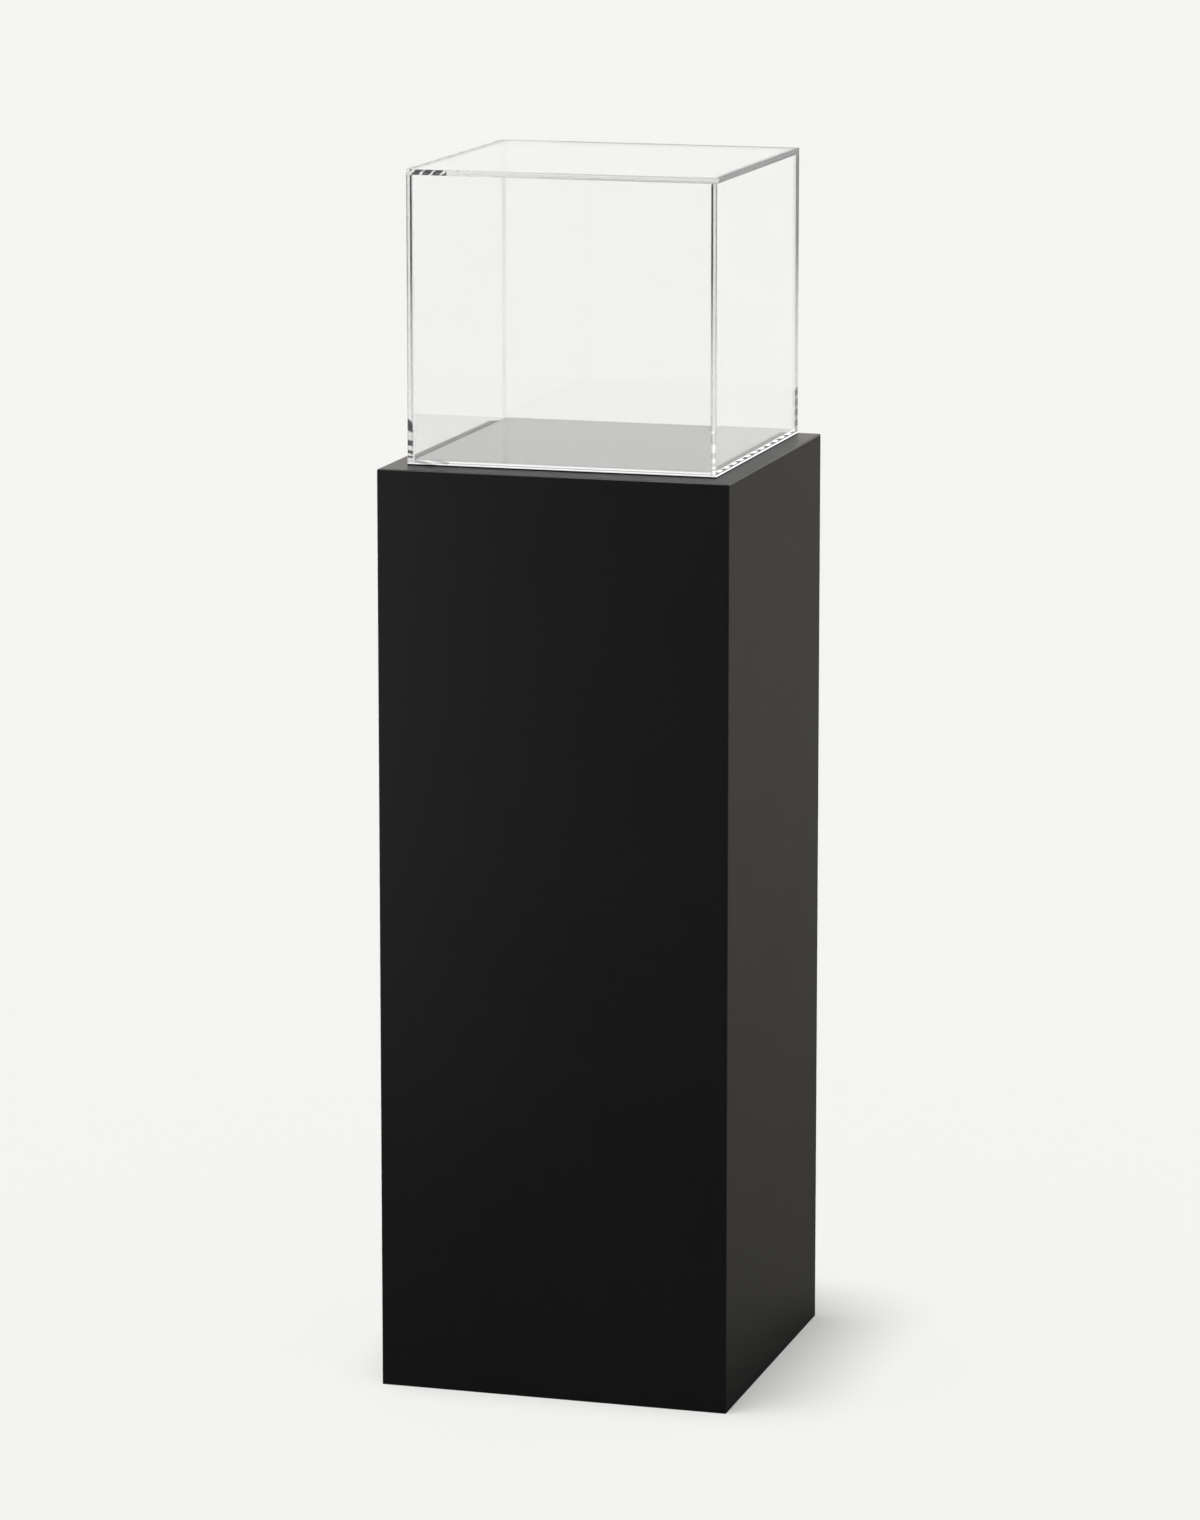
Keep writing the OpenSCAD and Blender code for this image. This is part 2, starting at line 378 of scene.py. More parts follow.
class SawMarksAndRefraction(Effect):
    """Slanted marks along a sheet's edge, within the reach that the mesh gives: saw marks whose
    dark tint is partly painted refraction of the black deck.

    Crowded marks follow a logarithm, so that they lie closer the nearer they are to the end.
    They are also thinner, straighter and less slanted.
    """

    name = "saw_marks_and_refraction"
    inputs = {"Pitch": 0.0085, "Slant": 0.8, "Share": 0.42, "Margin": 0.05, "Wander": 0.5}
    outputs = ("Mask", "Zone")
    nearest = 0.0004
    first_mark = 0.0040
    growth = 1.88
    calming = 0.7
    thinning = 0.35
    clean_end = (0.0035, 0.0042)
    soft_margin = 0.06
    shift = 0.2
    streak = (240.0, 1.6, 1.0)

    @classmethod
    def fill(cls, graph: Graph, given: dict[str, Value]) -> dict[str, Value]:
        """Fills the group.

        Args:
            graph: the group's graph.
            given: its inputs by name.

        Returns:
            The mask of the marks, and the zone that they lie in, both from 0 to 1.
        """
        spot, along, across = graph.edge_map()
        crowded = graph.amount("crowded")
        even = along / given["Pitch"] + cls.shift
        nearer = graph.math("MAXIMUM", along, cls.nearest) / cls.first_mark
        close = graph.math("LOGARITHM", nearer, cls.growth)
        counted = (close - even) * crowded + even
        calm = 1.0 - crowded * cls.calming
        slanted = across * (given["Slant"] * calm) + counted
        streaks = graph.out("ShaderNodeMapping", {"Vector": spot, "Scale": cls.streak})
        wander = graph.noise(streaks, 1.0, 1.0) - 0.5
        phase = wander * (given["Wander"] * calm) + slanted
        ridge = abs(graph.math("FRACT", phase) - 0.5)
        share = given["Share"] * (1.0 - crowded * cls.thinning)
        bar = graph.steps(ridge, share * 0.42, share * 0.58, 1.0, 0.0)
        near = graph.math("MINIMUM", across, 1.0 - across)
        inside = graph.steps(near, given["Margin"], given["Margin"] + cls.soft_margin)
        inside = inside * graph.steps(along, *cls.clean_end)
        within_reach = graph.steps(along - graph.amount("reach"), 0.0, 0.001, 1.0, 0.0)
        zone = within_reach * graph.amount("marks")
        return {"Mask": bar * inside * zone, "Zone": zone}


class Finish:
    """A surface's finish. Each kind fills its own material once."""

    name: str
    made: dict["Finish", bpy.types.Material] = {}

    def look(self, graph: Graph) -> dict[str, object]:
        """What feeds the shader of an opaque finish, by the names of its inputs."""
        raise NotImplementedError

    def fill(self, graph: Graph) -> None:
        """Fills the material's node tree."""
        shader = graph.out("ShaderNodeBsdfPrincipled", self.look(graph))
        graph.node("ShaderNodeOutputMaterial", {"Surface": shader})

    def material(self) -> bpy.types.Material:
        """Gives this finish's material, and makes it the first time.

        Returns:
            The material.
        """
        if self not in Finish.made:
            made = bpy.data.materials.new(self.name)
            self.fill(cleared(made))
            Finish.made[self] = made
        return Finish.made[self]


@dataclass(frozen=True)
class Lacquer(Finish):
    """Satin black lacquer, sprayed on board: clouded sheen, orange peel and a trace of dust."""

    colour: Colour = (0.0056, 0.0056, 0.0053)
    darker: float = 0.7
    lighter: float = 1.5
    settled: Colour = (0.09, 0.088, 0.084)
    roughness: float = 0.40
    sheen_change: float = 0.025
    peel_size: float = 0.0016
    peel_height: float = 0.000004

    name = "satin_black_lacquer"

    def look(self, graph: Graph) -> dict[str, object]:
        """Draws the lacquer.

        Args:
            graph: the material's graph.

        Returns:
            What feeds its shader, by input.
        """
        cloud = Mottle.use(graph, cloud_size=0.16, grain_size=0.0011, grain_share=0.35)["Value"]
        dust = Dust.use(graph, amount=0.22)["Mask"]
        dark, lit = (tuple(c * share for c in self.colour) for share in (self.darker, self.lighter))
        colour = graph.mix(dust, graph.mix(cloud, dark, lit), self.settled)
        rough = graph.steps(cloud, 0.25, 0.75, self.roughness - self.sheen_change,
                            self.roughness + self.sheen_change, "LINEAR")
        rough = graph.math("MULTIPLY_ADD", dust, 0.35, rough, clamp=True)
        peel = graph.noise(graph.place(), 1 / self.peel_size, 1.5)
        return {"Base Color": colour, "Roughness": rough, "IOR": 1.5,
                "Normal": graph.bump(peel, self.peel_height)}


@dataclass(frozen=True)
class Line:
    """A dark line along a sheet's edge, at a share of its thickness."""

    place: float
    half: float
    strength: float


@dataclass(frozen=True)
class ClearSheet(Finish):
    """Clear cast acrylic: flawless faces, and sawn edges that were polished.

    The mesh says where the edges are. They show slanted saw marks, whose dark tint is partly
    painted refraction of the black deck; dark lines where they were cemented, partly painted
    dark refraction and contact shadow; and a painted glow, an emission that stands in for light
    held in the sheet. One material holds faces and edges, because a ray leaves the absorbing
    inside only through the material that it came in by. Lamps and soft light pass straight through.
    """

    name: str
    caught_light: float
    lines: tuple[Line, ...]
    fade_from: float = 0.0
    fade_to: float = 0.0
    least: float = 0.48
    pitch: float = 0.0104
    slant: float = 0.5
    share: float = 0.765
    margin: float = 0.03
    wander: float = 0.5
    mark: Colour = (0.010, 0.010, 0.011)
    seam: Colour = (0.003, 0.003, 0.003)
    clear: Colour = (0.987, 0.985, 0.984)
    # bright is the colour of the painted glow.
    bright: Colour = (1.0, 1.0, 0.99)
    ripple: float = 0.00020
    ripple_scale: float = 130.0
    ior: float = 1.49
    density: float = 0.35
    inside: Colour = (0.47, 0.50, 0.50)

    def fill(self, graph: Graph) -> None:
        """Fills the acrylic.

        Args:
            graph: the material's graph.
        """
        marks = SawMarksAndRefraction.use(graph, pitch=self.pitch, slant=self.slant, share=self.share,
                             margin=self.margin, wander=self.wander)
        dark = self.dark_lines(graph)
        # Painted darkness: the lines' tint stands for cemented joints, dark refraction and contact
        # shadow.
        tint = graph.mix(dark, self.clear, self.seam)
        # The marks' dark tint is partly painted refraction of the black deck.
        tint = graph.mix(marks["Mask"], tint, self.mark)
        # Painted glow: an emission colour, darkened by the marks and lines, scaled by the mesh's
        # glow amount.
        painted_glow_colour = graph.mix(marks["Mask"], self.bright, self.mark)
        painted_glow_colour = graph.mix(dark, painted_glow_colour, (0.0, 0.0, 0.0))
        glow = graph.out("ShaderNodeVectorMath", {0: painted_glow_colour, "Scale": graph.amount("glow")},
                         operation="SCALE")
        waves = graph.noise(graph.place(), self.ripple_scale, 1.0) * marks["Zone"]
        glass = graph.out("ShaderNodeBsdfPrincipled", {
            "Base Color": tint, "Roughness": 0.0, "IOR": self.ior, "Transmission Weight": 1.0,
            "Normal": graph.bump(waves, self.ripple), "Emission Color": glow,
            "Emission Strength": self.caught_light})
        soft = graph.math("MAXIMUM", graph.ray("Shadow"), graph.ray("Diffuse"))
        open_way = graph.out("ShaderNodeBsdfTransparent")
        surface = graph.out("ShaderNodeMixShader", {0: soft, 1: glass, 2: open_way})
        volume = graph.out("ShaderNodeVolumeAbsorption",
                           {"Color": self.inside, "Density": self.density})
        graph.node("ShaderNodeOutputMaterial", {"Surface": surface, "Volume": volume})

    def dark_lines(self, graph: Graph) -> Value:
        """Draws the lines where an edge was cemented, partly painted dark refraction and contact
        shadow; on the walls they fade towards the foot.

        Args:
            graph: the material's graph.

        Returns:
            A mask from 0 to 1.
        """
        _, along, across = graph.edge_map()
        shown = graph.amount("seam")
        if self.fade_to > self.fade_from:
            shown = shown * graph.steps(along, self.fade_from, self.fade_to, self.least, 1.0)
        darkest = 0.0
        for line in self.lines:
            drawn = graph.steps(abs(across - line.place), 0.5 * line.half, line.half,
                                line.strength, 0.0)
            darkest = graph.math("MAXIMUM", darkest, drawn)
        return darkest * shown


class Grain(Enum):
    """Which way the grain of a piece of wood runs."""

    ALONG_X = "x"
    ALONG_Y = "y"
    ALONG_Z = "z"

    def drawn_out(self, graph: Graph, share: float) -> Value:
        """Turns coordinates for a pattern that runs along Z, and draws it out with the grain.

        Args:
            graph: the material's graph.
            share: how much of its scale the pattern keeps along the grain.

        Returns:
            The coordinates.
        """
        turn = {Grain.ALONG_X: (0.0, QUARTER_TURN, 0.0), Grain.ALONG_Y: (QUARTER_TURN, 0.0, 0.0),
                Grain.ALONG_Z: (0.0, 0.0, 0.0)}[self]
        return graph.place(tuple(share if way is self else 1.0 for way in Grain), turn)


@dataclass(frozen=True)
class Pine(Finish):
    """Planed pine: year rings that run with the grain, fibres and a few small knots."""

    grain: Grain
    early: Colour = (0.66, 0.46, 0.25)
    late: Colour = (0.44, 0.25, 0.10)
    fibre: Colour = (0.80, 0.60, 0.38)
    knot: Colour = (0.16, 0.075, 0.03)
    ring_width: float = 0.0032
    fibre_height: float = 0.00006

    @property
    def name(self) -> str:
        """The material's name."""
        return f"pine_along_{self.grain.value}"

    def look(self, graph: Graph) -> dict[str, object]:
        """Draws the pine.

        Args:
            graph: the material's graph.

        Returns:
            What feeds its shader, by input.
        """
        long_way = self.grain.drawn_out(graph, 0.06)
        bend = graph.noise(long_way, 16.0, 2.0)
        rings = graph.out("ShaderNodeTexWave", {
            "Vector": long_way, "Scale": WAVE_LENGTH / self.ring_width, "Distortion": 1.6,
            "Detail": 1.5, "Phase Offset": bend * 14.0},
            "Fac", wave_type="RINGS", rings_direction="Z", wave_profile="SAW")
        late = graph.steps(rings, 0.45, 1.0)
        fibres = graph.noise(self.grain.drawn_out(graph, 0.02), 1900.0, 2.0)
        cells = {"Vector": self.grain.drawn_out(graph, 0.6), "Scale": 7.0}
        cells = graph.out("ShaderNodeTexVoronoi", cells, "Distance")
        knots = graph.steps(cells, 0.018, 0.036, 1.0, 0.0)
        colour = graph.mix(late, self.early, self.late)
        colour = graph.mix(fibres * 0.45, colour, self.fibre)
        colour = graph.mix(knots * 0.8, colour, self.knot)
        return {"Base Color": colour,
                "Roughness": graph.steps(fibres, 0.3, 0.7, 0.52, 0.70, "LINEAR"),
                "Normal": graph.bump(late * 0.6 + fibres, self.fibre_height)}


@dataclass(frozen=True)
class Primer(Finish):
    """A thin coat of black primer that lets the board's pressed fibres show."""

    colour: Colour = (0.030, 0.030, 0.029)
    bare: Colour = (0.115, 0.082, 0.052)
    settled: Colour = (0.22, 0.21, 0.19)

    name = "primed_fibreboard"

    def look(self, graph: Graph) -> dict[str, object]:
        """Draws the primed board.

        Args:
            graph: the material's graph.

        Returns:
            What feeds its shader, by input.
        """
        cloud = Mottle.use(graph, cloud_size=0.05, grain_size=0.0007, grain_share=0.5)["Value"]
        dust = Dust.use(graph, amount=0.8)["Mask"]
        thin = graph.steps(cloud, 0.52, 0.62, 0.0, 0.55)
        colour = graph.mix(dust, graph.mix(thin, self.colour, self.bare), self.settled)
        fibre = graph.noise(graph.place(stretch=(1.0, 1.0, 3.0)), 1400.0, 3.0, 0.7)
        return {"Base Color": colour,
                "Roughness": graph.steps(cloud, 0.3, 0.7, 0.68, 0.86, "LINEAR"),
                "Normal": graph.bump(fibre, 0.00008)}


@dataclass(frozen=True)
class PlatedSteel(Finish):
    """Steel with a clouded plating, dull in patches, over fine turning lines."""

    name: str
    bright: Colour
    dull: Colour
    roughness: float = 0.28
    turning: float = 5200.0

    def look(self, graph: Graph) -> dict[str, object]:
        """Draws the plated steel.

        Args:
            graph: the material's graph.

        Returns:
            What feeds its shader, by input.
        """
        cloud = Mottle.use(graph, cloud_size=0.006, grain_size=0.0004, grain_share=0.35)["Value"]
        spots = graph.steps(graph.noise(graph.place(), 620.0, 2.0), 0.60, 0.70)
        colour = graph.mix(graph.steps(cloud, 0.35, 0.65), self.dull, self.bright)
        colour = graph.mix(spots * 0.5, colour, self.dull)
        rough = graph.steps(cloud, 0.3, 0.7, self.roughness + 0.12, self.roughness - 0.04)
        rough = graph.math("MULTIPLY_ADD", spots, 0.2, rough, clamp=True)
        lines = graph.noise(graph.place(stretch=(0.02, 0.02, 1.0)), self.turning, 1.0)
        return {"Base Color": colour, "Metallic": 1.0, "Roughness": rough,
                "Normal": graph.bump(lines, 0.000012)}


@dataclass(frozen=True)
class MouldedNylon(Finish):
    """Dark moulded nylon with a fine grain, scuffed where it slides on the floor."""

    colour: Colour = (0.028, 0.028, 0.030)
    clouded: Colour = (0.040, 0.040, 0.043)
    scuffed: Colour = (0.16, 0.155, 0.15)
    scuff_height: float = 0.0025

    name = "moulded_nylon"

    def look(self, graph: Graph) -> dict[str, object]:
        """Draws the nylon.

        Args:
            graph: the material's graph.

        Returns:
            What feeds its shader, by input.
        """
        cloud = Mottle.use(graph, cloud_size=0.02, grain_size=0.0005, grain_share=0.5)["Value"]
        height = graph.axes(graph.place())[2]
        low_down = graph.steps(height, 0.0002, self.scuff_height, 1.0, 0.0)
        scratches = graph.noise(graph.place(stretch=(1.0, 0.12, 1.0)), 900.0, 3.0, 0.7)
        worn = graph.steps(scratches, 0.48, 0.62) * low_down
        colour = graph.mix(graph.steps(cloud, 0.3, 0.7), self.colour, self.clouded)
        colour = graph.mix(worn * 0.7, colour, self.scuffed)
        grain = graph.noise(graph.place(), 2400.0, 1.0)
        return {"Base Color": colour,
                "Roughness": worn * 0.25 + graph.steps(cloud, 0.3, 0.7, 0.42, 0.55),
                "Normal": graph.bump(grain, 0.00003)}


def dress(nodes: list[str], finish: Finish) -> None:
    """Gives CAD nodes a finish, in the material slots that they have.

    Args:
        nodes: the nodes' names.
        finish: their finish.
    """
    for name in nodes:
        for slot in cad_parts[name].material_slots:
            slot.material = finish.material()
        LOG.info("%s: dressed in %s", name, finish.name)


def placed(name: str, data: bpy.types.ID) -> bpy.types.Object:
    """Adds an object to the scene.

    Args:
        name: its name.
        data: its mesh, lamp or camera.

    Returns:
        The object, at the origin.
    """
    made = bpy.data.objects.new(name, data)
    bpy.context.scene.collection.objects.link(made)
    return made


def meshed(name: str, shape: bmesh.types.BMesh) -> bpy.types.Mesh:
    """Turns a shape into a mesh, and frees the shape.

    Args:
        name: the mesh's name.
        shape: the shape.

    Returns:
        The mesh.
    """
    mesh = bpy.data.meshes.new(name)
    shape.to_mesh(mesh)
    shape.free()
    return mesh


def piece(mesh: bpy.types.Mesh, finish: Finish, body: str,
          stands_for: list[str]) -> bpy.types.Object:
    """Makes a piece of the object from a mesh in place.

    Args:
        mesh: its mesh, with its place in its corners and the piece's name on it.
        finish: its finish.
        body: the body that it rides on.
        stands_for: the CAD nodes that it replaces.

    Returns:
        The piece.
    """
    made = placed(mesh.name, mesh)
    mesh.materials.append(finish.material())
    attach(made, body)
    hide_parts(*stands_for)
    LOG.info("%s: %d faces, rides on %s", made.name, len(mesh.polygons), body)
    return made


def within(parts: Iterable, corners: Corners) -> list:
    """The edges or faces that have all their corners among some."""
    return [part for part in parts if all(corner in corners for corner in part.verts)]


def join(shape: bmesh.types.BMesh, first: Corners, second: Corners) -> None:
    """Joins two rings of four corners by four faces.

    Args:
        shape: the mesh that holds them.
        first: one ring.
        second: the other, in the same turn.
    """
    for i in range(4):
        j = (i + 1) % 4
        shape.faces.new((first[i], first[j], second[j], second[i]))


def block(shape: bmesh.types.BMesh, low: Vector, high: Vector,
          open_below: bool = False) -> Corners:
    """Adds the sides of a box, its top, and its underside unless it is open there.

    Args:
        shape: the mesh to add to.
        low: the lowest corner.
        high: the highest corner.
        open_below: leaves the underside out.

    Returns:
        The eight corners, the lower four first, each four in turn round the box.
    """
    turns = [(low.x, low.y), (high.x, low.y), (high.x, high.y), (low.x, high.y)]
    ring = [shape.verts.new((x, y, z)) for z in (low.z, high.z) for x, y in turns]
    join(shape, ring[:4], ring[4:])
    shape.faces.new(ring[4:])
    if not open_below:
        shape.faces.new(ring[3::-1])
    return ring


def soften(shape: bmesh.types.BMesh, arris: float, *sets: Corners) -> None:
    """Rounds the edges that run within each of some sets of corners."""
    rims = [edge for corners in sets for edge in within(shape.edges, corners)]
    bmesh.ops.bevel(shape, geom=rims, offset=arris, segments=2, profile=0.5, affect="EDGES")


@dataclass(frozen=True)
class Strip:
    """How an exposed sheet edge lies, and how much of each edge effect it shows."""

    start: Vector
    run: Vector
    outside: Vector
    inward: Vector
    thickness: float
    marks: float = 0.0
    reach: float = 1.0
    crowded: float = 0.0
    seam: float = 0.0
    glow: float = 0.0

    def lay_on(self, shape: bmesh.types.BMesh, face: bmesh.types.BMFace) -> None:
        """Writes the edge map and the amounts on a face of the edge.

        Args:
            shape: the mesh that holds the face.
            face: the face.
        """
        chart = shape.loops.layers.uv["edge"]
        for corner in face.loops:
            along = (corner.vert.co - self.start).dot(self.run)
            across = (corner.vert.co - self.outside).dot(self.inward) / self.thickness
            corner[chart].uv = (along, across)
            for name in EDGE_AMOUNTS:
                corner[shape.loops.layers.float[name]] = getattr(self, name)


def add_edge_layers(shape: bmesh.types.BMesh) -> None:
    """Gives a mesh the layers that its edge finish reads.

    Args:
        shape: the mesh.
    """
    shape.loops.layers.uv.new("edge")
    for name in EDGE_AMOUNTS:
        shape.loops.layers.float.new(name)


class TurnedTrees:
    """The Geometry Nodes trees that turn a fixing from its profile and set out its copies."""

    form = {"Profile": "Geometry", "Sides": "Int", "Thread Pitch": "Float",
            "Thread Depth": "Float", "Cross Width": "Float", "Crease": "Float"}
    setting = {"Count": "Int", "Per Side": "Int", "Spread": "Float", "Inset": "Float",
               "Height": "Float", "Upside Down": "Float", "Material": "Material"}
    result = {"Geometry": "Geometry"}
    seam_gap = 2e-6
    least_sine = 0.01

    @classmethod
    def turned_part(cls) -> bpy.types.NodeTree:
        """Turns a profile round Z: its points are the rings, from the low axis end outwards.

        The profile's attributes thread, hexagon and cross say how much of each form a ring has.

        Returns:
            The tree.
        """
        graph, given = node_group("turned_part", "Geometry", cls.form, cls.result)
        rings = graph.out("GeometryNodeAttributeDomainSize", {0: given["Profile"]}, "Point Count")
        sheet = graph.out("GeometryNodeMeshGrid", {
            "Size X": 1.0, "Size Y": 1.0, "Vertices X": given["Sides"] + 1.0,
            "Vertices Y": rings}, "Mesh")
        spot = graph.out("GeometryNodeInputPosition")
        across, up, _ = graph.axes(spot)
        angle = (across + 0.5) * math.tau
        ring = graph.math("ROUND", (up + 0.5) * (rings - 1.0))
        spot = cls.sampled(graph, given["Profile"], spot, ring, "FLOAT_VECTOR")
        radius, _, height = graph.axes(spot)
        amount = {}
        for key in ("thread", "hexagon", "cross"):
            named = graph.out("GeometryNodeInputNamedAttribute", {"Name": key}, "Attribute")
            amount[key] = cls.sampled(graph, given["Profile"], named, ring, "FLOAT")
        radius = cls.with_flats(graph, radius, angle, amount["hexagon"])
        radius = cls.with_cross(graph, radius, angle, amount["cross"], given["Cross Width"])
        turns = height / given["Thread Pitch"] - angle / math.tau
        groove = abs(graph.math("FRACT", turns) - 0.5)
        cut_in = groove * 2.0 * (given["Thread Depth"] * amount["thread"])
        radius = graph.math("MAXIMUM", radius - cut_in, 0.0)
        place = graph.out("ShaderNodeCombineXYZ", {
            "X": radius * graph.math("COSINE", angle), "Y": radius * graph.math("SINE", angle),
            "Z": height})
        shape = graph.out("GeometryNodeSetPosition", {"Geometry": sheet, "Position": place})
        shape = graph.out("GeometryNodeMergeByDistance",
                          {"Geometry": shape, "Distance": cls.seam_gap})
        turn = graph.out("GeometryNodeInputMeshEdgeAngle", output="Unsigned Angle")
        sharp = graph.math("GREATER_THAN", turn, given["Crease"])
        shape = graph.out("GeometryNodeSetShadeSmooth", {
            "Geometry": shape, "Selection": sharp, "Shade Smooth": False}, domain="EDGE")
        graph.node("NodeGroupOutput", {0: shape})
        return graph.tree

    @staticmethod
    def sampled(graph: Graph, profile: Value, value: Value, ring: Value, kind: str) -> Value:
        """Reads a value of the profile's point for a ring.

        Args:
            graph: the tree's graph.
            profile: the profile.
            value: what to read.
            ring: the ring's number.
            kind: the value's data type.

        Returns:
            The value.
        """
        feeds = {"Geometry": profile, "Value": value, "Index": ring}
        return graph.out("GeometryNodeSampleIndex", feeds, "Value", data_type=kind,
                         domain="POINT", clamp=True)

    @staticmethod
    def with_flats(graph: Graph, radius: Value, angle: Value, amount: Value) -> Value:
        """Widens a ring to the hexagon that stands round it, with a corner at +X.

        Args:
            graph: the tree's graph.
            radius: the ring's radius.
            angle: the way round it.
            amount: how much of the hexagon it has.

        Returns:
            The new radius.
        """
        sector = math.pi / 3
        off = angle % sector - sector / 2
        wider = 1.0 / graph.math("COSINE", off) - 1.0
        return radius * (wider * amount + 1.0)

    @classmethod
    def with_cross(cls, graph: Graph, radius: Value, angle: Value, amount: Value,
                   width: Value) -> Value:
        """Draws a ring in to a cross, as a driver's recess has.

        Args:
            graph: the tree's graph.
            radius: the ring's radius.
            angle: the way round it.
            amount: how much of the cross it has.
            width: half the width of the cross's arms.

        Returns:
            The new radius.
        """
        turned = (angle + QUARTER_TURN / 2) % QUARTER_TURN
        off = abs(turned - QUARTER_TURN / 2)
        reach = width / graph.math("MAXIMUM", graph.math("SINE", off), cls.least_sine)
        narrow = graph.math("MINIMUM", radius, reach)
        return (narrow - radius) * amount + radius

    @classmethod
    def set_out(cls) -> bpy.types.NodeTree:
        """Turns one part and sets its copies out round the plinth, side by side.

        Returns:
            The tree.
        """
        turned = cls.turned_part()
        graph, given = node_group("turned_and_set_out", "Geometry", cls.form | cls.setting,
                                  cls.result)
        part = graph.out("GeometryNodeGroup", {key: given[key] for key in cls.form},
                         node_tree=turned)
        row = graph.out("GeometryNodeMeshLine", {"Count": given["Count"]}, "Mesh")
        index = graph.out("GeometryNodeInputIndex")
        turn = graph.math("FLOOR", index / given["Per Side"]) * QUARTER_TURN
        sign = (index % given["Per Side"]) * -2.0 + 1.0
        start = graph.out("ShaderNodeCombineXYZ", {
            "X": sign * given["Spread"], "Y": given["Inset"] * -1.0, "Z": given["Height"]})
        place = graph.out("ShaderNodeVectorRotate", {"Vector": start, "Angle": turn},
                          rotation_type="Z_AXIS")
        spots = graph.out("GeometryNodeSetPosition", {"Geometry": row, "Position": place})
        over = given["Upside Down"] * math.pi
        euler = graph.out("ShaderNodeCombineXYZ", {"X": over, "Z": turn})
        rotation = graph.out("FunctionNodeEulerToRotation", {0: euler})
        copies = graph.out("GeometryNodeInstanceOnPoints", {
            "Points": spots, "Instance": part, "Rotation": rotation})
        real = graph.out("GeometryNodeRealizeInstances", {"Geometry": copies})
        dressed = graph.out("GeometryNodeSetMaterial", {
            "Geometry": real, "Material": given["Material"]})
        graph.node("NodeGroupOutput", {0: dressed})
        return graph.tree


@dataclass(frozen=True)
class Ring:
    """One ring of a turned part: its radius and height, and what is cut round it."""

    radius: float
    height: float
    thread: float = 0.0
    hexagon: float = 0.0
    cross: float = 0.0


def threaded(radius: float, low: float, high: float, pitch: float) -> list[Ring]:
    """The rings of a threaded stretch, six to each turn of the thread."""
    count = round((high - low) / pitch * 6)
    return [Ring(radius, low + (high - low) * i / count, thread=1.0) for i in range(count + 1)]


@dataclass
class TurnedPart:
    """A turned fixing: its rings, its thread, and how its copies are set out."""

    name: str
    rings: list[Ring]
    finish: Finish
    sides: int = 48
    thread_pitch: float = 0.001
    thread_depth: float = 0.0
    cross_width: float = 0.0006
    crease: float = 0.6
    count: int = 1
    per_side: int = 1
    spread: float = 0.0
    inset: float = 0.0
    height: float = 0.0
    upside_down: float = 0.0

    def build(self, body: str, slot: str, stands_for: list[str]) -> bpy.types.Object:
        """Runs the tree on the profile and keeps the result as a plain mesh.

        Args:
            body: the body that the part rides on.
            slot: the record's material slot; not used.
            stands_for: the CAD nodes that it replaces.

        Returns:
            The piece.
        """
        profile = bpy.data.meshes.new(f"{self.name}_profile")
        profile.from_pydata([(r.radius, 0.0, r.height) for r in self.rings], [], [])
        for key in ("thread", "hexagon", "cross"):
            layer = profile.attributes.new(key, "FLOAT", "POINT")
            layer.data.foreach_set("value", [getattr(r, key) for r in self.rings])
        maker = placed(f"{self.name}_maker", profile)
        modifier = maker.modifiers.new("turning", "NODES")
        tree = bpy.data.node_groups.get("turned_and_set_out") or TurnedTrees.set_out()
        modifier.node_group = tree
        values = {input_name(key): value for key, value in vars(self).items()}
        values["Material"] = self.finish.material()
        for item in tree.interface.items_tree:
            if item.in_out == "INPUT" and item.name in values:
                modifier[item.identifier] = values[item.name]
        seen = maker.evaluated_get(bpy.context.evaluated_depsgraph_get())
        mesh = bpy.data.meshes.new_from_object(seen)
        mesh.name = self.name
        mesh.materials.clear()
        bpy.data.objects.remove(maker)
        return piece(mesh, self.finish, body, stands_for)


